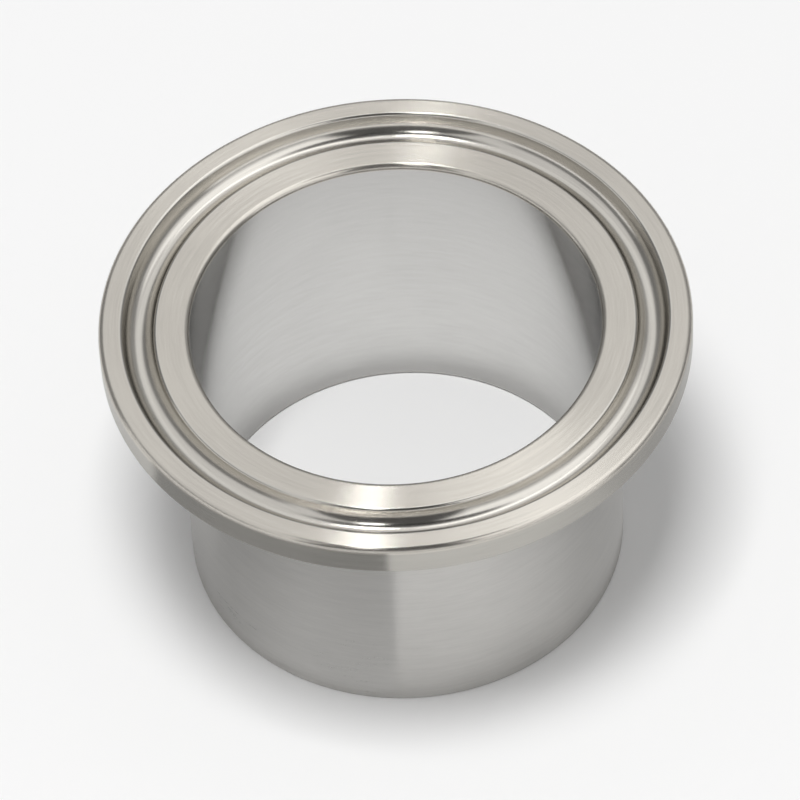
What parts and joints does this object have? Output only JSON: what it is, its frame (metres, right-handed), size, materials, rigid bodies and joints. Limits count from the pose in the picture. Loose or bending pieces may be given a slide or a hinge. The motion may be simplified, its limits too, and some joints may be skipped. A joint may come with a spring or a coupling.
{
  "type": "tank ferrule",
  "caption": "Round stainless ferrule: a weld tube that opens into a clamp flange with a stepped sealing face and a rounded gasket groove.",
  "frame": {"origin": "centre of the tube's weld end, on the ferrule's axis, where it stands", "axes": "+Z along the ferrule's axis, from the weld end to the sealing face"},
  "size_m": [0.0506, 0.0506, 0.0286],
  "materials": {
    "stainless": "turned and polished flange, satin tube and bore"
  },
  "bodies": {
    "root": {"ferrule": "stainless"}
  },
  "joints": []
}
